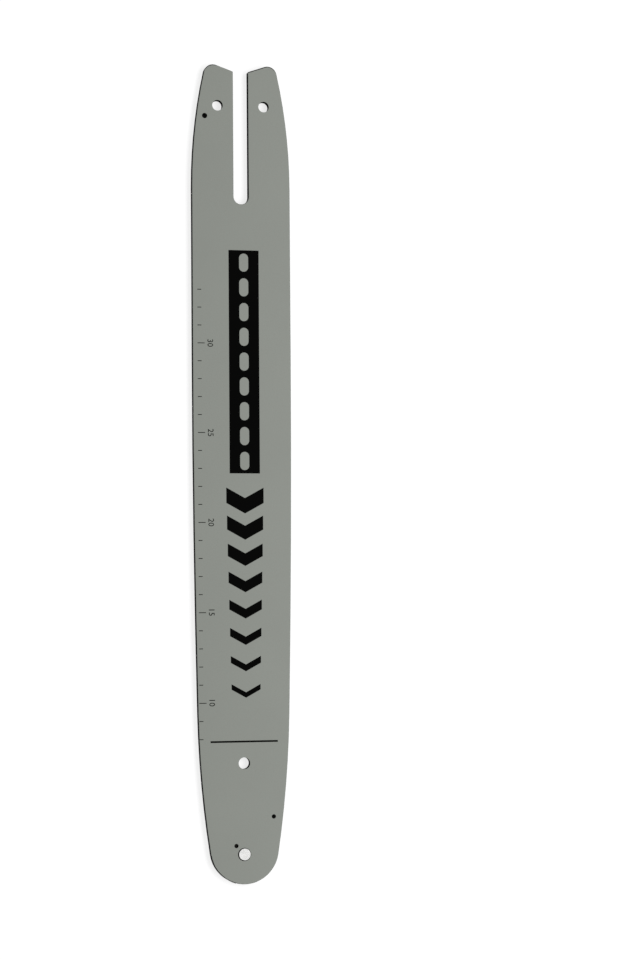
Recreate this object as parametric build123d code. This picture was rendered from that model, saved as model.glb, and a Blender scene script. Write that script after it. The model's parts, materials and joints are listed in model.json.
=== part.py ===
"""Laminated guide bar with a sprocket nose for a small chain saw.

The bar lies flat on its back face, with its nose towards -Y and its mounting tail towards
+Y.  Two equal side plates, one turned over, are spot welded to a narrower core plate, so
that the gap between them is the chain groove.  A toothed sprocket runs on rollers between
the plates at the nose, round a hub that one flush rivet holds.  All sizes are in
millimetres, all angles in degrees.
"""
import math
import os

from build123d import *

# Outline of the side plates
bar_length = 457.0
bar_width = 55.8
nose_radius = 19.2
cheek_radius = 590.0
cheek_end_angle = 1.24
rail_radius = 9100.0
tail_taper_length = 69.3
tail_radius = 301.0
horn_radius = 5.3
notch_slope_angle = 19.2
edge_break = 0.25

# Layers
plate_thickness = 1.36
drive_link_gauge = 1.27
groove_clearance = 0.11
groove_depth = 6.5
core_corner_radius = 1.0
core_hole_wall = 1.4
lead_in_length = 7.0
lead_in_depth = 0.45

# Mounting end
slot_width = 8.6
slot_depth = 78.6
slot_mouth_radius = 0.5
tension_hole_diameter = 6.0
tension_hole_spacing = 26.4
tension_hole_setback = 23.1
oil_hole_diameter = 3.0
oil_hole_setback = 29.2
oil_hole_edge_distance = 4.6

# Nose
nose_axis_setback = 16.4
guard_hole_diameter = 6.5
guard_hole_to_nose_axis = 50.2
grease_hole_diameter = 2.4
grease_hole_angle = 135.0

# Sprocket
tooth_count = 7
tooth_rise = 0.4
sprocket_side_clearance = 0.09
pocket_clearance = 0.9
gullet_depth = 5.6
gullet_root_radius = 2.5
gullet_flank_angle = 38.0
tooth_corner_radius = 0.4

# Bearing and rivet
hub_radius = 5.6
roller_radius = 1.1
roller_running_clearance = 0.04
roller_spacing_clearance = 0.1
rivet_shank_radius = 2.4
rivet_head_radius = 3.2
rivet_seat_depth = 0.9
rivet_groove_width = 0.4
rivet_groove_depth = 0.2
rivet_fit_clearance = 0.02

# Places that follow from the sizes above
groove_width = drive_link_gauge + groove_clearance
bar_thickness = 2 * plate_thickness + groove_width
half_width = bar_width / 2
tip_y = -bar_length / 2
tail_y = bar_length / 2
nose_axis_y = tip_y + nose_axis_setback
guard_hole_y = nose_axis_y + guard_hole_to_nose_axis
tension_hole_y = tail_y - tension_hole_setback
slot_centre_y = tail_y - slot_depth + slot_width / 2
sprocket_tip_radius = nose_axis_setback + tooth_rise
sprocket_thickness = groove_width - 2 * sprocket_side_clearance
roller_pitch_radius = hub_radius + roller_radius + roller_running_clearance
sprocket_bore_radius = roller_pitch_radius + roller_radius + roller_running_clearance
rivet_seat_radius = rivet_head_radius + rivet_groove_width


def polar(centre, radius, angle):
    """Point at a radius and an angle from +X about a centre."""
    turn = math.radians(angle)
    return (centre[0] + radius * math.cos(turn), centre[1] + radius * math.sin(turn))


def arc(centre, radius, start_angle, end_angle):
    """Circular arc about a centre, between two angles counted from +X."""
    middle_angle = (start_angle + end_angle) / 2
    return ThreePointArc(
        polar(centre, radius, start_angle),
        polar(centre, radius, middle_angle),
        polar(centre, radius, end_angle),
    )


def bearing_of(start, end):
    """Angle from +X of the line from one point to another."""
    return math.degrees(math.atan2(end[1] - start[1], end[0] - start[0]))


def nose_flank_angle():
    """Angle between rail and bar axis where the nose arc ends.

    The nose, cheek and rail arcs are tangent to each other and the rail arc ends parallel
    to the axis at the half width, which leaves one angle to solve for.
    """
    end_turn = math.cos(math.radians(cheek_end_angle))
    rail_drop = rail_radius * (1 - end_turn)
    flank_turn = (half_width - rail_drop - cheek_radius * end_turn) / (nose_radius - cheek_radius)
    return math.degrees(math.acos(flank_turn))


def horn_centre(tail_centre, inset, corner_radius):
    """Centre of a horn's rounding, which touches the tail arc and the straight side of the notch.

    Without an inset the horns end at the full length, and that places the notch; an inset moves
    tail arc and notch that much further in.
    """
    slope = math.radians(notch_slope_angle)
    full_y = tail_y - horn_radius - tail_centre[1]
    full_x = math.sqrt((tail_radius - horn_radius) ** 2 - full_y**2)
    rise = full_y * math.cos(slope) - full_x * math.sin(slope) + horn_radius - inset - corner_radius
    run = math.sqrt((tail_radius - inset - corner_radius) ** 2 - rise**2)
    return (
        tail_centre[0] + run * math.cos(slope) - rise * math.sin(slope),
        tail_centre[1] + run * math.sin(slope) + rise * math.cos(slope),
    )


def bar_outline(inset, corner_radius):
    """Outline of the bar without its slot, as a face.

    One half runs from the nose tip over nose, cheek, rail, tail and horn, every arc tangent
    to the next, and down the straight side of the tail notch.  An inset draws the same
    outline that much further in, with its horns rounded to the corner radius.
    """
    flank_angle = nose_flank_angle()
    nose_centre = (0, tip_y + nose_radius)
    cheek_centre = polar(nose_centre, nose_radius - cheek_radius, -flank_angle)
    rail_centre = polar(cheek_centre, cheek_radius - rail_radius, -cheek_end_angle)
    tail_centre = (half_width - tail_radius, tail_y - tail_taper_length)
    horn = horn_centre(tail_centre, inset, corner_radius)
    horn_start = bearing_of(tail_centre, horn)
    horn_end = 90 + notch_slope_angle
    notch_start = polar(horn, corner_radius, horn_end)
    notch_bottom = notch_start[1] - notch_start[0] * math.tan(math.radians(notch_slope_angle))
    side_x = half_width - inset
    half = [
        arc(nose_centre, nose_radius - inset, -90, -flank_angle),
        arc(cheek_centre, cheek_radius - inset, -flank_angle, -cheek_end_angle),
        arc(rail_centre, rail_radius - inset, -cheek_end_angle, 0),
        Line((side_x, rail_centre[1]), (side_x, tail_centre[1])),
        arc(tail_centre, tail_radius - inset, 0, horn_start),
        arc(horn, corner_radius, horn_start, horn_end),
        Line(notch_start, (0, notch_bottom)),
    ]
    other_half = [mirror(edge, Plane.YZ) for edge in half]
    return make_face(half + other_half)


def stud_slot():
    """Open slot for the bar studs, round at its inner end and open to the tail."""
    run = tail_y - slot_centre_y
    straight = Pos(0, slot_centre_y + run / 2) * Rectangle(slot_width, run)
    return straight + Pos(0, slot_centre_y) * Circle(slot_width / 2)


def through_holes(wall=0):
    """Two chain tension holes beside the slot and the nose guard hole, or the discs round them."""
    tension = Circle(tension_hole_diameter / 2 + wall)
    holes = Pos(0, guard_hole_y) * Circle(guard_hole_diameter / 2 + wall)
    for side in (-1, 1):
        holes += Pos(side * tension_hole_spacing / 2, tension_hole_y) * tension
    return holes


def port_holes():
    """Oil port into the groove at the tail and grease port over the nose rollers."""
    tail_centre = (half_width - tail_radius, tail_y - tail_taper_length)
    oil_y = tail_y - oil_hole_setback
    port_radius = tail_radius - oil_hole_edge_distance
    oil_x = tail_centre[0] + math.sqrt(port_radius**2 - (oil_y - tail_centre[1]) ** 2)
    grease = polar((0, nose_axis_y), roller_pitch_radius, grease_hole_angle)
    return Pos(-oil_x, oil_y) * Circle(oil_hole_diameter / 2) + Pos(*grease) * Circle(
        grease_hole_diameter / 2
    )


def rivet_seat_cut():
    """Countersunk hole for the nose rivet, its wide end on the plate's outer face."""
    seat = rivet_seat_radius + rivet_fit_clearance
    shank = rivet_shank_radius + rivet_fit_clearance
    section = Polyline(
        (0, 0),
        (shank, 0),
        (shank, plate_thickness - rivet_seat_depth),
        (seat, plate_thickness),
        (0, plate_thickness),
        close=True,
    )
    return Pos(0, nose_axis_y) * revolve(Plane.XZ * make_face(section), Axis.Z)


def lead_in_cut():
    """Wedge that widens the groove towards the horn tips, where the chain runs in."""
    section = Polyline(
        (tail_y - lead_in_length, 0),
        (tail_y, 0),
        (tail_y, lead_in_depth),
        close=True,
    )
    return extrude(Plane.YZ * make_face(section), amount=bar_width / 2, both=True)


def side_plate():
    """One side plate with its inner face on z = 0 and its outer face up."""
    outline = bar_outline(0, horn_radius) - stud_slot()
    mouth = [
        corner
        for corner in outline.vertices()
        if abs(corner.X) < slot_width and corner.Y > slot_centre_y + slot_width
    ]
    outline = fillet(mouth, slot_mouth_radius)
    blank = extrude(outline, amount=plate_thickness)
    rim = blank.faces().sort_by(Axis.Z)[-1].outer_wire().edges()
    blank = chamfer(rim, edge_break)
    blank -= extrude(through_holes() + port_holes(), amount=plate_thickness)
    return blank - rivet_seat_cut() - lead_in_cut()


def core_plate():
    """Middle plate, set back from the rails by the groove depth, with a pocket for the sprocket.

    It keeps a wall round every through hole, also where a narrow bar brings its edge near one.
    """
    pocket = Pos(0, nose_axis_y) * Circle(sprocket_tip_radius + pocket_clearance)
    outline = bar_outline(groove_depth, core_corner_radius) + through_holes(core_hole_wall)
    return extrude(outline - stud_slot() - pocket - through_holes(), amount=groove_width)


def gullet():
    """Space between two teeth on +Y: a round root with straight flanks that open outwards."""
    root_y = sprocket_tip_radius - gullet_depth + gullet_root_radius
    flank = math.radians(gullet_flank_angle)
    start_x = gullet_root_radius * math.cos(flank)
    start_y = root_y - gullet_root_radius * math.sin(flank)
    end_x = start_x + sprocket_tip_radius * math.sin(flank)
    end_y = start_y + sprocket_tip_radius * math.cos(flank)
    mouth = Polyline(
        (-start_x, start_y), (start_x, start_y), (end_x, end_y), (-end_x, end_y), close=True
    )
    return make_face(mouth) + Pos(0, root_y) * Circle(gullet_root_radius)


def nose_sprocket():
    """Toothed ring, centred on its own axis, with a gullet at the nose tip at rest."""
    star = Circle(sprocket_tip_radius)
    for tooth in range(tooth_count):
        star -= Rot(0, 0, 180 + tooth * 360 / tooth_count) * gullet()
    tips = [
        corner
        for corner in star.vertices()
        if math.hypot(corner.X, corner.Y) > sprocket_tip_radius - tooth_corner_radius
    ]
    star = fillet(tips, tooth_corner_radius) - Circle(sprocket_bore_radius)
    return extrude(star, amount=sprocket_thickness)


def nose_hub():
    """Inner race, clamped between the side plates by the rivet."""
    ring = Circle(hub_radius) - Circle(rivet_shank_radius + rivet_fit_clearance)
    return extrude(ring, amount=groove_width)


def nose_rivet():
    """Rivet with a flush countersunk head at each end and a fine groove round each head."""
    seat_slope = (rivet_seat_radius - rivet_shank_radius) / rivet_seat_depth
    crest_radius = rivet_seat_radius - rivet_groove_depth * seat_slope
    lower = [
        (0, 0),
        (rivet_head_radius, 0),
        (crest_radius, rivet_groove_depth),
        (rivet_shank_radius, rivet_seat_depth),
    ]
    upper = [(radius, bar_thickness - z) for radius, z in reversed(lower)]
    return revolve(Plane.XZ * make_face(Polyline(lower + upper, close=True)), Axis.Z)


def roller_places():
    """Centres of the rollers: as many as fit side by side round the hub."""
    half_pitch = math.asin((roller_radius + roller_spacing_clearance / 2) / roller_pitch_radius)
    count = int(math.pi / half_pitch)
    return [polar((0, nose_axis_y), roller_pitch_radius, i * 360 / count) for i in range(count)]


def build():
    """All pieces of the bar by name, each in its place."""
    plate = side_plate()
    groove_floor = plate_thickness
    running_floor = plate_thickness + sprocket_side_clearance
    pieces = {
        "front_side_plate": Pos(0, 0, groove_floor + groove_width) * plate,
        "back_side_plate": Pos(0, 0, groove_floor) * Rot(0, 180, 0) * plate,
        "core_plate": Pos(0, 0, groove_floor) * core_plate(),
        "nose_sprocket": Pos(0, nose_axis_y, running_floor) * nose_sprocket(),
        "nose_hub": Pos(0, nose_axis_y, groove_floor) * nose_hub(),
        "nose_rivet": Pos(0, nose_axis_y, 0) * nose_rivet(),
    }
    roller = extrude(Circle(roller_radius), amount=sprocket_thickness)
    for number, (x, y) in enumerate(roller_places(), start=1):
        pieces[f"nose_roller_{number:02d}"] = Pos(x, y, running_floor) * roller
    return pieces


os.makedirs("parts", exist_ok=True)
for name, shape in build().items():
    export_step(shape, f"parts/{name}.step")
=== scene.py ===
import json
import math

import bmesh
import bpy
import numpy as np
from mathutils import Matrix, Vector


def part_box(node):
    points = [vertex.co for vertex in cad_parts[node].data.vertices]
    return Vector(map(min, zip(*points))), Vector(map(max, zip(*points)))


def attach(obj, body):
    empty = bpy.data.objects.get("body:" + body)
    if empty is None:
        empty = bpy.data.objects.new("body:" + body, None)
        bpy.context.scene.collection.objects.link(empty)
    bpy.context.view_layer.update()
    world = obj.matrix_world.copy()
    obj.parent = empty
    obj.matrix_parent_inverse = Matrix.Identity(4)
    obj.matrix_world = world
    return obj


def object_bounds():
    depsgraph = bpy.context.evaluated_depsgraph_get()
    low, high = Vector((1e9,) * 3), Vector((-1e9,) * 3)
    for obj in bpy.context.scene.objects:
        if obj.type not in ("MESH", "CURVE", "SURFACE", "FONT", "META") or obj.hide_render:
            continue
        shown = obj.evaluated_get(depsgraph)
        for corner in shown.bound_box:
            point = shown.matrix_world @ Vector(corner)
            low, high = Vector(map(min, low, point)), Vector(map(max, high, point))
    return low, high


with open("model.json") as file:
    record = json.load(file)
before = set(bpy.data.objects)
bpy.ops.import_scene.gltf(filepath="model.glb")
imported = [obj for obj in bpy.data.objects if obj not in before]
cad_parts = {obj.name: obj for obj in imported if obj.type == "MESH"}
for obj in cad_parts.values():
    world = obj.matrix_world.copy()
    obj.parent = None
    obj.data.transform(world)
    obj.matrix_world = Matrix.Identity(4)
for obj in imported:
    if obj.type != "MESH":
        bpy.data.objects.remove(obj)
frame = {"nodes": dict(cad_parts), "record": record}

cad_low, cad_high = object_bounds()
MM = 0.001
CM = 10 * MM
WHITE = (1.0, 1.0, 1.0, 1.0)
BLACK = (0.0, 0.0, 0.0, 1.0)

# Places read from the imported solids, in metres.
plate_low, plate_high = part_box("front_side_plate")
rivet_low, rivet_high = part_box("nose_rivet")
face_z = plate_high.z
mid_z = (cad_low.z + cad_high.z) / 2
half_thickness = (cad_high.z - cad_low.z) / 2
inner_face = plate_low.z - mid_z
nose_tip_y = plate_low.y
nose_axis = (rivet_low + rivet_high) / 2
rivet_radius = (rivet_high.x - rivet_low.x) / 2

# The picture: a long lens above and to the left of the bar.
PICTURE_HEIGHT_PX = 960
SENSOR_MM = 36.0
FOCAL_PX = 2561.5
CAMERA_AT_MM = (-290.0, -80.0, 1400.0)
CAMERA_TURN_DEG = (3.111, -13.443, -0.440)
NEAREST_SEEN_M = 0.01
FURTHEST_SEEN_M = 50.0

# The light: one wide soft lamp on the right, an even surround, and a table that glows.
SURROUND_STRENGTH = 0.62
BACKDROP_STRENGTH = 1.0
KEY_WATTS = 10.5
KEY_SIZE_M = (1.3, 0.6)
KEY_AT_M = (0.65, 0.0, 0.95)
FLOOR_GAP = 0.05 * MM
FLOOR_HALF_M = 6.0
FLOOR_GREY = (0.30, 0.30, 0.30, 1.0)
FLOOR_ROUGH = 0.9
FLOOR_GLOW = 0.735
FLOOR_FAR_COLOUR = (1.14, 1.14, 1.14, 1.0)
FLOOR_FADE_M = (0.3, 1.2)

# Paint on the two outer faces: roughness and gloss go with its shade.
PAINT_COLOUR = (0.2108, 0.2228, 0.2007, 1.0)
PAINT_SHADES = (0.9, 1.1)
PAINT_ROUGH = (0.50, 0.62)
PAINT_GLOSS = (0.62, 0.48)
PAINT_COAT_ROUGH = 0.36
PAINT_WRAP = 0.15 * MM
PAINT_EDGE_SOFT = 0.015 * MM
PAINT_EDGE_RAGGED = 0.16 * MM
CHIP_SCALE = 900.0
SEAT_GAP = 0.29 * MM
# Painted shade: the rivet's bare seat ring is moved left by this much, so its dark ring is wider on the
# side away from the lamp.
SEAT_SHADE_SHIFT = 0.3 * MM

# Bare steel of the plates: a dark rim, ground rails, and darker cut walls in the slot and the holes, their
# extra darkness painted shade in these recesses.
RIM_DARK = (0.0040, 0.0040, 0.0044, 1.0)
RIM_LIGHT = (0.036, 0.0352, 0.0344, 1.0)
RIM_ROUGH = (0.95, 0.80)
RAIL_DARK = (0.055, 0.055, 0.056, 1.0)
RAIL_LIGHT = (0.220, 0.217, 0.211, 1.0)
CUT_SHADE_DARK = (0.020, 0.020, 0.0205, 1.0)
CUT_SHADE_LIGHT = (0.090, 0.089, 0.086, 1.0)
WALL_ROUGH = (0.37, 0.22)
EDGE_BREAK = 0.25 * MM
WALL_MARGIN = 0.02 * MM
CUT_HALF_WIDTH = 17.5 * MM
CUT_FROM_NOSE_AXIS = 12.0 * MM
CUT_FROM_HORN_RIM = 0.3 * MM

# Rim bared by wear and painted shade: bare dark edges on the right horn, the outer side of the left horn
# and the left of the nose, the edges that face away from the lamp.
HORN_RADIUS = 5.3 * MM
HORN_CENTRE_X = 15.59 * MM
HORN_DIRECTIONS_DEG = (109.2, 90.0, 70.0, 50.0)
HORN_WEAR_AND_SHADE = 0.50 * MM
RIGHT_HORN_FADE = (0.0, 4.0 * MM)
LEFT_HORN_FADE = (-12.0 * MM, -15.0 * MM)
NOSE_RADIUS = 19.2 * MM
NOSE_BELOW_CENTRE = 3.0 * MM
NOSE_WEAR_AND_SHADE = 0.32 * MM
NOSE_FADE = (2.0 * MM, -6.0 * MM)
WORN_SHADE_RAGGED = 0.5 * MM
WORN_SHADE_SOFT = 0.03 * MM

# Rivet head, with painted shade on the left of its bevel.
RIVET_DARK = (0.45, 0.45, 0.443, 1.0)
RIVET_LIGHT = (0.765, 0.765, 0.755, 1.0)
RIVET_ROUGH = (0.50, 0.64)
RING_PITCH = 0.22 * MM
RING_SHARE = 0.25
BEVEL_BEGINS = 0.005 * MM
BEVEL_FULL = 0.02 * MM
BEVEL_SHADE_FADE = (-1.5 * MM, 3.0 * MM)

# Shared effects: film grain, and ground lines in steel.
NOISE_MIDDLE = 0.5
FINE_GRAIN_SCALE = 2400.0
LINE_SHARE = 0.7
PATCH_SHARE = 0.3
LINE_CONTRAST = (0.40, 0.62)

# Print film.
INK_COLOUR = (0.0011, 0.0011, 0.0010, 1.0)
INK_SHADES = (0.7, 1.3)
INK_ROUGH = (0.5, 0.68)
INK_SHINE = 0.015
FILM_SINK = 0.02 * MM
FILM_RISE = 0.03 * MM
WELD_DISTANCE = 0.002 * MM
RIM_RAYS = 64
ON_BORDER = 0.999999
NO_LESS_THAN = 1e-9


def set_inputs(tree, node, inputs):
    """Sets or links a node's inputs, which are named or numbered."""
    for key, value in inputs.items():
        if isinstance(value, bpy.types.NodeSocket):
            tree.links.new(value, node.inputs[key])
        else:
            node.inputs[key].default_value = value


def add(tree, kind, inputs=None, **settings):
    """Adds a node, sets its properties, and then sets or links its inputs."""
    made = tree.nodes.new(kind)
    for key, value in settings.items():
        setattr(made, key, value)
    set_inputs(tree, made, inputs or {})
    return made


def maths(tree, operation, first, second=0.0, third=0.0):
    """One Math node's result."""
    inputs = {0: first, 1: second, 2: third}
    return add(tree, "ShaderNodeMath", inputs, operation=operation).outputs[0]


def vector_maths(tree, operation, first, second=(0.0, 0.0, 0.0)):
    """One Vector Math node's outputs."""
    return add(tree, "ShaderNodeVectorMath", {0: first, 1: second}, operation=operation).outputs


def blend_value(tree, share, first, second):
    """Two values mixed by a share from 0 to 1."""
    return add(tree, "ShaderNodeMix", {0: share, 2: first, 3: second}, data_type="FLOAT").outputs[0]


def blend_colour(tree, share, first, second, how="MIX"):
    """Two colours mixed by a share from 0 to 1."""
    inputs = {0: share, 6: first, 7: second}
    return add(tree, "ShaderNodeMix", inputs, data_type="RGBA", blend_type=how).outputs[2]


def spread(tree, value, low, high, to_low=0.0, to_high=1.0):
    """A value moved from one range to another and held inside it."""
    inputs = {0: value, 1: low, 2: high, 3: to_low, 4: to_high}
    return add(tree, "ShaderNodeMapRange", inputs).outputs[0]


def noise(tree, vector, scale, detail, roughness=0.5):
    """A noise texture's value, which varies about NOISE_MIDDLE."""
    inputs = {"Vector": vector, "Scale": scale, "Detail": detail, "Roughness": roughness}
    return add(tree, "ShaderNodeTexNoise", inputs).outputs[0]


def emboss(tree, height, strength, depth):
    """The normal that a height gives."""
    inputs = {"Strength": strength, "Distance": depth, "Height": height}
    return add(tree, "ShaderNodeBump", inputs).outputs[0]


def effect(name, inputs, outputs):
    """An empty shader group with named sockets: its tree, what comes in and what goes out."""
    tree = bpy.data.node_groups.new(name, "ShaderNodeTree")
    for label, kind in inputs:
        tree.interface.new_socket(label, in_out="INPUT", socket_type=kind)
    for label, kind in outputs:
        tree.interface.new_socket(label, in_out="OUTPUT", socket_type=kind)
    came = tree.nodes.new("NodeGroupInput").outputs
    goes = tree.nodes.new("NodeGroupOutput").inputs
    return tree, came, goes


def make_film_grain():
    """A film's fine grain and slow cloudiness, as a shade about 1 and a height about 0.5."""
    tree, came, goes = effect(
        "film_grain",
        [("Vector", "NodeSocketVector"), ("Grain Scale", "NodeSocketFloat"), ("Grain", "NodeSocketFloat"),
         ("Cloud Scale", "NodeSocketFloat"), ("Cloud", "NodeSocketFloat")],
        [("Shade", "NodeSocketFloat"), ("Height", "NodeSocketFloat")])
    grain = noise(tree, came["Vector"], came["Grain Scale"], detail=2.0, roughness=0.6)
    cloud = noise(tree, came["Vector"], came["Cloud Scale"], detail=3.0)
    fine = maths(tree, "MULTIPLY_ADD", maths(tree, "SUBTRACT", grain, NOISE_MIDDLE), came["Grain"], 1.0)
    shade = maths(tree, "MULTIPLY_ADD", maths(tree, "SUBTRACT", cloud, NOISE_MIDDLE), came["Cloud"], fine)
    tree.links.new(shade, goes["Shade"])
    tree.links.new(grain, goes["Height"])
    return tree


def make_ground_lines():
    """Steel: fine lines left by grinding, long along one axis, as a mask from 0 to 1 and a height."""
    tree, came, goes = effect(
        "ground_lines",
        [("Vector", "NodeSocketVector"), ("Stretch", "NodeSocketVector"),
         ("Patch Scale", "NodeSocketFloat")],
        [("Mask", "NodeSocketFloat"), ("Height", "NodeSocketFloat")])
    drawn = vector_maths(tree, "MULTIPLY", came["Vector"], came["Stretch"])["Vector"]
    lines = noise(tree, drawn, 1.0, detail=4.0, roughness=0.65)
    patch = noise(tree, came["Vector"], came["Patch Scale"], detail=2.0)
    mixed = maths(tree, "MULTIPLY_ADD", patch, PATCH_SHARE, maths(tree, "MULTIPLY", lines, LINE_SHARE))
    tree.links.new(spread(tree, mixed, *LINE_CONTRAST), goes["Mask"])
    tree.links.new(lines, goes["Height"])
    return tree


film_grain = make_film_grain()
ground_lines = make_ground_lines()


def finish_material(name):
    """A new node material: its tree, its Principled shader and the Object coordinate."""
    material = bpy.data.materials.new(name)
    material.use_nodes = True
    tree = material.node_tree
    shader = tree.nodes["Principled BSDF"]
    place = tree.nodes.new("ShaderNodeTexCoord").outputs["Object"]
    return material, tree, shader, place


def place_effect(tree, made, inputs):
    """A shared effect placed in a material with its own values."""
    return add(tree, "ShaderNodeGroup", inputs, node_tree=made).outputs


def split_place(tree, place):
    """A point's place across and along the bar, and its distance from the bar's middle plane."""
    across, along, height = add(tree, "ShaderNodeSeparateXYZ", {0: place}).outputs
    off_middle = maths(tree, "ABSOLUTE", maths(tree, "SUBTRACT", height, mid_z))
    return across, along, off_middle


def from_upright(tree, place, x, y):
    """Distance of a point from the upright line through x and y."""
    centred = add(tree, "ShaderNodeMapping", {"Vector": place, "Location": (-x, -y, 0.0)}).outputs[0]
    flat = vector_maths(tree, "MULTIPLY", centred, (1.0, 1.0, 0.0))["Vector"]
    return vector_maths(tree, "LENGTH", flat)["Value"]


def past_horn(tree, across, along):
    """How far a point lies past the rim of its horn: the longest of its reaches from the centre of the
    horn's rounding, along a few directions from square to the notch's side round the tip, less the
    radius."""
    centre = Vector((HORN_CENTRE_X, cad_high.y - HORN_RADIUS, 0.0))
    folded = add(tree, "ShaderNodeCombineXYZ", {0: maths(tree, "ABSOLUTE", across), 1: along}).outputs[0]
    furthest = 0.0
    for turn in HORN_DIRECTIONS_DEG:
        way = Vector((math.cos(math.radians(turn)), math.sin(math.radians(turn)), 0.0))
        reach = vector_maths(tree, "DOT_PRODUCT", folded, way)["Value"]
        furthest = maths(tree, "MAXIMUM", maths(tree, "SUBTRACT", reach, way.dot(centre)), furthest)
    return maths(tree, "SUBTRACT", furthest, HORN_RADIUS)


def past_nose(tree, place, along):
    """How far a point lies past the nose arc, counted only on the tip's side of the arc's centre."""
    centre_y = nose_tip_y + NOSE_RADIUS
    distance = from_upright(tree, place, 0.0, centre_y)
    below = maths(tree, "LESS_THAN", along, centre_y - NOSE_BELOW_CENTRE)
    return maths(tree, "SUBTRACT", maths(tree, "MULTIPLY", distance, below), NOSE_RADIUS)


def worn_rim(tree, across, horn_reach, nose_reach, chips):
    """Mask of the rim where the paint is gone, by wear and as painted shade: past the outline less the
    wear, with a ragged border.
    """
    # Wear and painted shade: the fades keep the bare dark rim to the edges that face away from the lamp.
    right_horn = spread(tree, across, *RIGHT_HORN_FADE)
    left_horn = spread(tree, across, *LEFT_HORN_FADE)
    horn_wear_and_shade = maths(tree, "MULTIPLY", maths(tree, "MAXIMUM", right_horn, left_horn), HORN_WEAR_AND_SHADE)
    nose_wear_and_shade = spread(tree, across, *NOSE_FADE, 0.0, NOSE_WEAR_AND_SHADE)
    horn = maths(tree, "ADD", horn_reach, horn_wear_and_shade)
    nose = maths(tree, "ADD", nose_reach, nose_wear_and_shade)
    frayed = maths(tree, "MULTIPLY_ADD", maths(tree, "SUBTRACT", chips, NOISE_MIDDLE), WORN_SHADE_RAGGED,
                   maths(tree, "MAXIMUM", horn, nose))
    return spread(tree, frayed, -WORN_SHADE_SOFT, WORN_SHADE_SOFT)


def paint_cover(tree, place, across, along, off_middle, horn_reach):
    """Mask of the paint: the outer faces and a ragged part of their bevel, but for the rivet's seat, moved
    left as painted shade, and the rim bared by wear and by painted shade on edges facing away from the
    lamp."""
    chips = noise(tree, place, CHIP_SCALE, detail=3.0)
    ragged = maths(tree, "MULTIPLY_ADD", maths(tree, "SUBTRACT", chips, NOISE_MIDDLE), PAINT_EDGE_RAGGED,
                   off_middle)
    edge = half_thickness - PAINT_WRAP
    turned_over = spread(tree, ragged, edge - PAINT_EDGE_SOFT, edge + PAINT_EDGE_SOFT)
    # The seat's centre is moved left: painted shade, a wider dark ring on the rivet's left, away from the
    # lamp.
    seat_distance = from_upright(tree, place, nose_axis.x - SEAT_SHADE_SHIFT, nose_axis.y)
    outside_seat = maths(tree, "GREATER_THAN", seat_distance, rivet_radius + SEAT_GAP)
    worn_and_shaded = worn_rim(tree, across, horn_reach, past_nose(tree, place, along), chips)
    covered = maths(tree, "MULTIPLY", turned_over, outside_seat)
    return maths(tree, "MULTIPLY", covered, maths(tree, "SUBTRACT", 1.0, worn_and_shaded))


def upright_wall(tree, off_middle):
    """Mask of a plate's upright walls: between its inner face and its bevel."""
    low = inner_face + WALL_MARGIN
    high = half_thickness - EDGE_BREAK - WALL_MARGIN
    return maths(tree, "COMPARE", off_middle, (low + high) / 2, (high - low) / 2)


def inside_outline(tree, across, along, horn_reach):
    """Mask of what lies well inside the outline, where the walls are those of the slot and the holes."""
    off_rails = maths(tree, "LESS_THAN", maths(tree, "ABSOLUTE", across), CUT_HALF_WIDTH)
    off_nose = maths(tree, "GREATER_THAN", along, nose_axis.y + CUT_FROM_NOSE_AXIS)
    off_horns = maths(tree, "LESS_THAN", horn_reach, -CUT_FROM_HORN_RIM)
    return maths(tree, "MULTIPLY", maths(tree, "MULTIPLY", off_rails, off_nose), off_horns)


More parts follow.
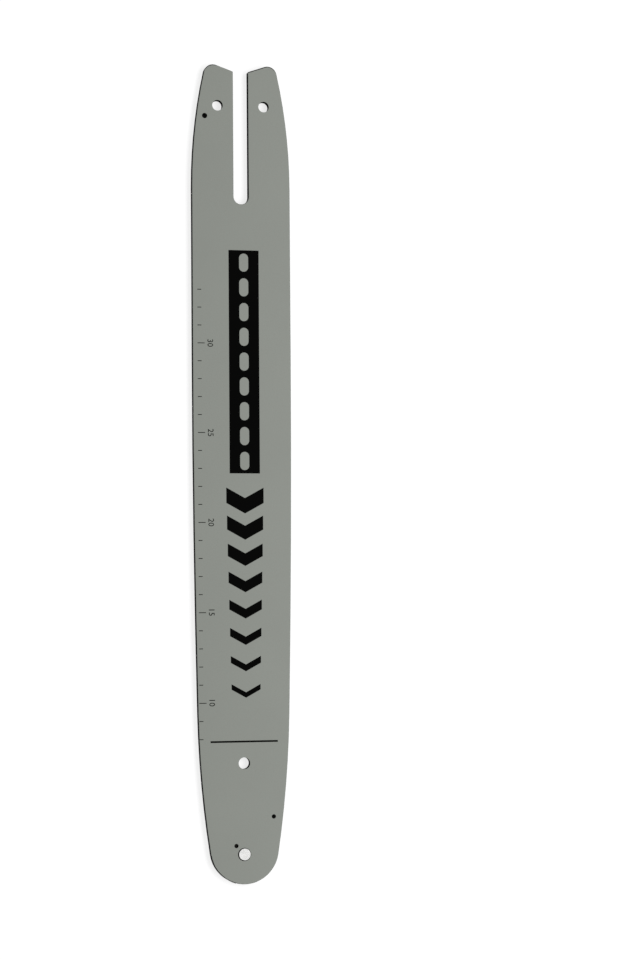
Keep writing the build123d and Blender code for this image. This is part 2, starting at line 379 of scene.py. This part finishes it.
def painted_steel():
    """Satin grey paint on both outer faces, turning over the edge and gone from the rim in places, by wear
    and as painted shade; the rails are ground steel and the walls of slot and holes darker cut steel,
    darkened as painted shade."""
    material, tree, shader, place = finish_material("satin_grey_paint")
    film = place_effect(tree, film_grain, {"Vector": place, "Grain Scale": FINE_GRAIN_SCALE, "Grain": 0.30,
                                           "Cloud Scale": 18.0, "Cloud": 0.12})
    bare = place_effect(tree, ground_lines, {"Vector": place, "Stretch": (260.0, 90.0, 5200.0),
                                             "Patch Scale": 160.0})
    across, along, off_middle = split_place(tree, place)
    horn_reach = past_horn(tree, across, along)
    painted = paint_cover(tree, place, across, along, off_middle, horn_reach)
    on_wall = upright_wall(tree, off_middle)
    rail = blend_colour(tree, bare["Mask"], RAIL_DARK, RAIL_LIGHT)
    # Painted shade: the walls of the slot and the holes are darker than the rails, standing in for the
    # shade in these recesses.
    cut = blend_colour(tree, bare["Mask"], CUT_SHADE_DARK, CUT_SHADE_LIGHT)
    wall = blend_colour(tree, inside_outline(tree, across, along, horn_reach), rail, cut)
    metal = blend_colour(tree, on_wall, blend_colour(tree, bare["Mask"], RIM_DARK, RIM_LIGHT), wall)
    metal_rough = blend_value(tree, on_wall, spread(tree, bare["Mask"], 0.0, 1.0, *RIM_ROUGH),
                              spread(tree, bare["Mask"], 0.0, 1.0, *WALL_ROUGH))
    shaded = blend_colour(tree, 1.0, PAINT_COLOUR, film["Shade"], "MULTIPLY")
    satin = spread(tree, film["Shade"], *PAINT_SHADES, *PAINT_ROUGH)
    gloss = spread(tree, film["Shade"], *PAINT_SHADES, *PAINT_GLOSS)
    peel = maths(tree, "MULTIPLY", film["Height"], painted)
    # The paint shines through its coat alone; the black tint takes the shine off bare walls at flat angles.
    set_inputs(tree, shader, {
        "Base Color": blend_colour(tree, painted, metal, shaded),
        "Metallic": on_wall,
        "Roughness": blend_value(tree, painted, metal_rough, satin),
        "Coat Weight": maths(tree, "MULTIPLY", painted, gloss),
        "Coat Roughness": PAINT_COAT_ROUGH,
        "Specular IOR Level": 0.0,
        "Specular Tint": BLACK,
        "Normal": emboss(tree, peel, strength=0.45, depth=0.05 * MM),
    })
    return material


def print_ink():
    """Matt black print with a faint grain, thin enough to take on the paint's texture."""
    material, tree, shader, place = finish_material("matt_black_print")
    film = place_effect(tree, film_grain, {"Vector": place, "Grain Scale": FINE_GRAIN_SCALE, "Grain": 1.2,
                                           "Cloud Scale": 60.0, "Cloud": 0.4})
    set_inputs(tree, shader, {
        "Base Color": blend_colour(tree, 1.0, INK_COLOUR, film["Shade"], "MULTIPLY"),
        "Roughness": spread(tree, film["Shade"], *INK_SHADES, *INK_ROUGH),
        "Specular IOR Level": INK_SHINE,
        "Normal": emboss(tree, film["Height"], strength=0.2, depth=0.02 * MM),
    })
    return material


def steel(name, dark, light, rough, stretch, patch_scale, metallic=1.0, shine=0.5):
    """Bare steel with ground lines: darker and lighter metal, and a roughness that follows them."""
    material, tree, shader, place = finish_material(name)
    lines = place_effect(tree, ground_lines, {"Vector": place, "Stretch": stretch,
                                              "Patch Scale": patch_scale})
    set_inputs(tree, shader, {
        "Base Color": blend_colour(tree, lines["Mask"], dark, light),
        "Metallic": metallic,
        "Roughness": spread(tree, lines["Mask"], 0.0, 1.0, *rough),
        "Specular IOR Level": shine,
        "Normal": emboss(tree, lines["Height"], strength=0.2, depth=0.015 * MM),
    })
    return material


def turned_rivet():
    """Bright rivet head with fine rings about the nose axis; its bevel is dark on the left and turns paint
    grey
    towards the right: painted shade, the shadow on the side away from the lamp."""
    material, tree, shader, place = finish_material("turned_rivet_steel")
    turned = from_upright(tree, place, nose_axis.x, nose_axis.y)
    rings = maths(tree, "SINE", maths(tree, "MULTIPLY", turned, 2 * math.pi / RING_PITCH))
    lines = place_effect(tree, ground_lines, {"Vector": place, "Stretch": (3000.0, 3000.0, 3000.0),
                                              "Patch Scale": 2000.0})
    ringed = spread(tree, maths(tree, "MULTIPLY_ADD", rings, RING_SHARE, lines["Mask"]),
                    -RING_SHARE, 1.0 + RING_SHARE)
    tone = blend_colour(tree, ringed, RIVET_DARK, RIVET_LIGHT)
    across, _, off_middle = split_place(tree, place)
    on_face = spread(tree, off_middle, half_thickness - BEVEL_FULL, half_thickness - BEVEL_BEGINS)
    # Painted shade: the bevel runs from near black on the left to paint grey on the right, as the shadow
    # away from the lamp.
    bevel = blend_colour(tree, spread(tree, across, *BEVEL_SHADE_FADE), RIM_DARK, PAINT_COLOUR)
    set_inputs(tree, shader, {
        "Base Color": blend_colour(tree, on_face, bevel, tone),
        "Metallic": 1.0,
        "Roughness": spread(tree, ringed, 0.0, 1.0, *RIVET_ROUGH),
        "Normal": emboss(tree, rings, strength=0.35, depth=0.02 * MM),
    })
    return material


def pale_floor():
    """A plain table that glows, more so away from the bar, so that it looks white all over."""
    material, tree, shader, place = finish_material("white_table")
    film = place_effect(tree, film_grain, {"Vector": place, "Grain Scale": 40.0, "Grain": 0.02,
                                           "Cloud Scale": 3.0, "Cloud": 0.02})
    away = vector_maths(tree, "LENGTH", place)["Value"]
    set_inputs(tree, shader, {
        "Base Color": blend_colour(tree, 1.0, FLOOR_GREY, film["Shade"], "MULTIPLY"),
        "Roughness": FLOOR_ROUGH,
        "Specular IOR Level": 0.0,
        "Emission Color": blend_colour(tree, spread(tree, away, *FLOOR_FADE_M), WHITE, FLOOR_FAR_COLOUR),
        "Emission Strength": FLOOR_GLOW,
    })
    return material


ink = print_ink()
finishes = {
    "painted_plate": painted_steel(),
    # Painted shade: the core is near black and matt, so the groove between the plates and the core's band
    # in the hole walls read as shaded.
    "core_steel": steel(
        "shade_dark_core_steel", dark=(0.003, 0.003, 0.0033, 1.0), light=(0.016, 0.0157, 0.0154, 1.0),
        rough=(0.95, 0.70), stretch=(300.0, 60.0, 4000.0), patch_scale=120.0, metallic=0.0, shine=0.0),
    "sprocket_steel": steel(
        "ground_sprocket_steel", dark=(0.30, 0.30, 0.295, 1.0), light=(0.52, 0.515, 0.50, 1.0),
        rough=(0.24, 0.42), stretch=(900.0, 900.0, 9000.0), patch_scale=240.0),
    # Grease film, and painted shade: the bearing is made near black so that it reads dark down the grease
    # port.
    "bearing_steel": steel(
        "grease_and_shade_bearing_steel", dark=(0.003, 0.0025, 0.002, 1.0), light=(0.014, 0.0125, 0.0105, 1.0),
        rough=(0.35, 0.60), stretch=(1500.0, 1500.0, 1500.0), patch_scale=400.0, metallic=0.0, shine=0.06),
    "rivet_steel": turned_rivet(),
}
node_slot = {part["node"]: part["material_slot"] for part in frame["record"]["subparts"]}
for node_name, solid in frame["nodes"].items():
    for holder in solid.material_slots:
        holder.material = finishes[node_slot[node_name]]


def put(name, data):
    """A new object for a mesh, lamp or camera, linked into the scene."""
    made = bpy.data.objects.new(name, data)
    bpy.context.scene.collection.objects.link(made)
    return made


def ink_piece(name, mesh):
    """A mesh as one ink piece that rides on the bar: points in the same place are welded, and then the
    faces are turned outwards."""
    weld = bmesh.new()
    weld.from_mesh(mesh)
    bmesh.ops.remove_doubles(weld, verts=weld.verts, dist=WELD_DISTANCE)
    bmesh.ops.recalc_face_normals(weld, faces=weld.faces)
    weld.to_mesh(mesh)
    weld.free()
    mesh.materials.clear()
    mesh.materials.append(ink)
    piece = put(name, mesh)
    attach(piece, "bar")


def film_piece(name, grid, closed=False, shared=None):
    """A batch of thin ink patches on the printed face.

    grid is (patches, rows, columns, xy): each patch is a function of two parameters, sampled on rows and
    columns. Every point is set at the film's top and again at its foot in the paint; quads join
    neighbouring points on both levels, and a wall of quads follows each patch's border, so a patch is a
    closed slab.
    closed joins the last column to the first. shared marks border steps of row 0 that two patches have in
    common, which get no wall and are welded.
    """
    patches, rows, columns, _ = grid.shape
    points = np.empty((patches, 2, rows, columns, 3))
    points[..., :2] = grid[:, None]
    points[:, 0, :, :, 2] = face_z - FILM_SINK
    points[:, 1, :, :, 2] = face_z + FILM_RISE
    number = np.arange(patches * 2 * rows * columns).reshape(patches, 2, rows, columns)
    here = number if closed else number[..., :-1]
    there = np.roll(number, -1, axis=3) if closed else number[..., 1:]
    foot_here, top_here = here[:, 0], here[:, 1]
    foot_there, top_there = there[:, 0], there[:, 1]
    tops = np.stack([top_here[:, :-1], top_there[:, :-1], top_there[:, 1:], top_here[:, 1:]], -1)
    feet = np.stack([foot_here[:, :-1], foot_here[:, 1:], foot_there[:, 1:], foot_there[:, :-1]], -1)
    first = np.stack([foot_here[:, 0], foot_there[:, 0], top_there[:, 0], top_here[:, 0]], -1)
    last = np.stack([foot_there[:, -1], foot_here[:, -1], top_here[:, -1], top_there[:, -1]], -1)
    if shared is not None:
        first = first[~shared]
    quads = [tops, feet, first, last]
    if not closed:
        left, right = number[..., 0], number[..., -1]
        quads.append(np.stack([left[:, 0, 1:], left[:, 0, :-1], left[:, 1, :-1], left[:, 1, 1:]], -1))
        quads.append(np.stack([right[:, 0, :-1], right[:, 0, 1:], right[:, 1, 1:], right[:, 1, :-1]], -1))
    faces = np.concatenate([group.reshape(-1, 4) for group in quads])
    mesh = bpy.data.meshes.new(name)
    mesh.from_pydata(points.reshape(-1, 3).tolist(), [], faces.tolist())
    ink_piece(name, mesh)


def window_radius(angle, straight, end_radius):
    """Distance from a round-ended window's centre to its rim at an angle: to a straight side where the ray
    meets one, or else to the end circle."""
    across, along = np.cos(angle), np.sin(angle)
    side = end_radius / np.maximum(np.abs(across), NO_LESS_THAN)
    root = np.sqrt(np.maximum(end_radius ** 2 - (straight * across) ** 2, 0.0))
    return np.where(side * np.abs(along) <= straight, side, straight * np.abs(along) + root)


def window_band(name, centre_x, start_y, cell_length, count, half_width, straight, end_radius):
    """A black band of equal cells, each with a round-ended window: along a ray from the cell's centre, the
    first row lies on the cell's rectangle and the second on the window's rim."""
    half_length = cell_length / 2
    corner = math.atan2(half_length, half_width)
    corners = np.array([corner, math.pi - corner, math.pi + corner, 2 * math.pi - corner])
    even = np.linspace(0, 2 * math.pi, RIM_RAYS, endpoint=False)
    angle = np.unique(np.concatenate([even, corners]).round(9))
    ray = np.stack([np.cos(angle), np.sin(angle)], -1)
    reach = 1 / np.maximum(np.abs(ray[:, 0]) / half_width, np.abs(ray[:, 1]) / half_length)
    cell = np.stack([ray * reach[:, None], ray * window_radius(angle, straight, end_radius)[:, None]])
    centres = np.stack([np.full(count, centre_x), start_y - (np.arange(count) + 0.5) * cell_length], -1)
    step_y = (cell[0] + np.roll(cell[0], -1, axis=0))[:, 1] / 2
    shared = np.zeros((count, len(angle)), bool)
    shared[1:] |= step_y > half_length * ON_BORDER
    shared[:-1] |= step_y < -half_length * ON_BORDER
    film_piece(name, centres[:, None, None] + cell[None], closed=True, shared=shared)


def chevrons(name, centre_x, start_y, pitch, half_widths, arms, slope):
    """A row of V marks pointing to the nose: each edge falls towards the middle by slope times the distance
    from its arm's end, and the first row lies one arm's breadth nearer to the nose than the second."""
    x = half_widths[:, None] * np.array([-1.0, 0.0, 1.0])
    base = start_y - np.arange(len(half_widths))[:, None] * pitch
    upper_y = base - slope * (half_widths[:, None] - np.abs(x))
    upper = np.stack([centre_x + x, upper_y], -1)
    lower = np.stack([centre_x + x, upper_y - arms[:, None]], -1)
    film_piece(name, np.stack([lower, upper], 1))


def bars(name, low, high):
    """Upright rectangles between low and high corners, one patch each."""
    x = np.stack([low[:, 0], high[:, 0]], -1)
    y = np.stack([low[:, 1], high[:, 1]], -1)
    film_piece(name, np.stack(np.broadcast_arrays(x[:, None, :], y[:, :, None]), -1))


def dot(name, centre, radius, steps=9):
    """A disc with no pole: a square grid drawn in so that each side becomes a quarter of the circle."""
    u, v = np.meshgrid(np.linspace(-1, 1, steps), np.linspace(-1, 1, steps))
    disc = np.stack([u * np.sqrt(1 - v ** 2 / 2), v * np.sqrt(1 - u ** 2 / 2)], -1)
    film_piece(name, (np.array(centre) + radius * disc)[None])


def numeral(name, digits, centre, height):
    """A plain number on the scale, made a mesh and then put in its place, its foot towards the bar's
    edge."""
    text = bpy.data.curves.new(name, "FONT")
    text.body = digits
    text.align_x = "CENTER"
    text.align_y = "CENTER"
    text.resolution_u = 3
    text.extrude = 0.5
    holder = bpy.data.objects.new(name, text)
    mesh = bpy.data.meshes.new_from_object(holder)
    bpy.data.objects.remove(holder)
    bpy.data.curves.remove(text)
    points = np.empty(len(mesh.vertices) * 3)
    mesh.vertices.foreach_get("co", points)
    points = points.reshape(-1, 3)
    middle = (points.min(0) + points.max(0)) / 2
    flat = (points - middle) * (height / np.ptp(points[:, 1]))
    placed = np.empty_like(points)
    placed[:, 0] = centre[0] + flat[:, 1]
    placed[:, 1] = centre[1] - flat[:, 0]
    placed[:, 2] = np.where(points[:, 2] > 0, face_z + FILM_RISE, face_z - FILM_SINK)
    mesh.vertices.foreach_set("co", placed.ravel())
    ink_piece(name, mesh)


# The print: a windowed band, chevrons that thin out towards the nose, a rule and a dot.
PRINT_CENTRE_X = 1.2 * MM
window_band("print_band", centre_x=PRINT_CENTRE_X, start_y=124 * MM, cell_length=13.9 * MM, count=9,
            half_width=8.6 * MM, straight=2.5 * MM, end_radius=2.6 * MM)

CHEVRON_COUNT = 8
thinning = np.linspace(0.0, 1.0, CHEVRON_COUNT)
chevrons("print_chevrons", centre_x=PRINT_CENTRE_X, start_y=-9 * MM, pitch=15.6 * MM,
         half_widths=(10.6 - 2.4 * thinning) * MM, arms=(8.6 - 5.6 * thinning) * MM, slope=0.55)

bars("print_rule", low=np.array([[-19.0, -150.4]]) * MM, high=np.array([[19.0, -149.4]]) * MM)
dot("print_dot", centre=(16.5 * MM, -191.6 * MM), radius=1.2 * MM)

# Depth scale: a short tick each centimetre from the nose tip, a long one with its number each five.
SCALE_EDGE_X = -25.2 * MM
SCALE_FIRST_CM = 8
SCALE_LAST_CM = 33
NUMBERED_EACH = 5
LONG_TICK = 4.0 * MM
SHORT_TICK = 2.2 * MM
TICK_HALF_BREADTH = 0.2 * MM
NUMBER_FROM_EDGE = 7.2 * MM
NUMBER_HEIGHT = 3.2 * MM
marks = np.arange(SCALE_FIRST_CM, SCALE_LAST_CM + 1)
numbered = marks % NUMBERED_EACH == 0
mark_y = nose_tip_y + marks * CM
tick_end_x = SCALE_EDGE_X + np.where(numbered, LONG_TICK, SHORT_TICK)
tick_low = np.stack([np.full(len(marks), SCALE_EDGE_X), mark_y - TICK_HALF_BREADTH], -1)
tick_high = np.stack([tick_end_x, mark_y + TICK_HALF_BREADTH], -1)
bars("print_ticks", tick_low, tick_high)
for mark, y in zip(marks[numbered], mark_y[numbered]):
    numeral(f"print_number_{mark:02d}", str(mark), (SCALE_EDGE_X + NUMBER_FROM_EDGE, y), NUMBER_HEIGHT)

# Floor.
floor_ends = np.array([-FLOOR_HALF_M, FLOOR_HALF_M])
floor_x, floor_y = np.meshgrid(floor_ends, floor_ends)
floor_points = np.stack([floor_x, floor_y, np.full((2, 2), -FLOOR_GAP)], -1).reshape(-1, 3)
floor_mesh = bpy.data.meshes.new("table_top")
floor_mesh.from_pydata(floor_points.tolist(), [], [[0, 1, 3, 2]])
floor_mesh.materials.append(pale_floor())
floor = put("table_top", floor_mesh)

# Light: what is seen behind the table is white, and what lights the bar is dimmer.
world = bpy.data.worlds.new("white_surround")
world.use_nodes = True
sky = world.node_tree
surround = sky.nodes["Background"]
set_inputs(sky, surround, {"Color": WHITE, "Strength": SURROUND_STRENGTH})
backdrop = add(sky, "ShaderNodeBackground", {"Color": WHITE, "Strength": BACKDROP_STRENGTH})
seen = sky.nodes.new("ShaderNodeLightPath").outputs["Is Camera Ray"]
either = add(sky, "ShaderNodeMixShader", {0: seen, 1: surround.outputs[0], 2: backdrop.outputs[0]})
set_inputs(sky, sky.nodes["World Output"], {"Surface": either.outputs[0]})
bpy.context.scene.world = world

key_data = bpy.data.lights.new("soft_key", "AREA")
key_data.shape = "RECTANGLE"
key_data.size, key_data.size_y = KEY_SIZE_M
key_data.energy = KEY_WATTS
key = put("soft_key", key_data)
key.location = KEY_AT_M
key.rotation_euler = (-Vector(KEY_AT_M)).to_track_quat("-Z", "Y").to_euler()

# Camera.
camera_data = bpy.data.cameras.new("picture_camera")
camera_data.sensor_fit = "VERTICAL"
camera_data.sensor_height = SENSOR_MM
camera_data.lens = FOCAL_PX * SENSOR_MM / PICTURE_HEIGHT_PX
camera_data.clip_start = NEAREST_SEEN_M
camera_data.clip_end = FURTHEST_SEEN_M
camera = put("picture_camera", camera_data)
camera.location = Vector(CAMERA_AT_MM) * MM
camera.rotation_euler = [math.radians(turn) for turn in CAMERA_TURN_DEG]
bpy.context.scene.camera = camera
bpy.context.scene.view_settings.view_transform = "Standard"
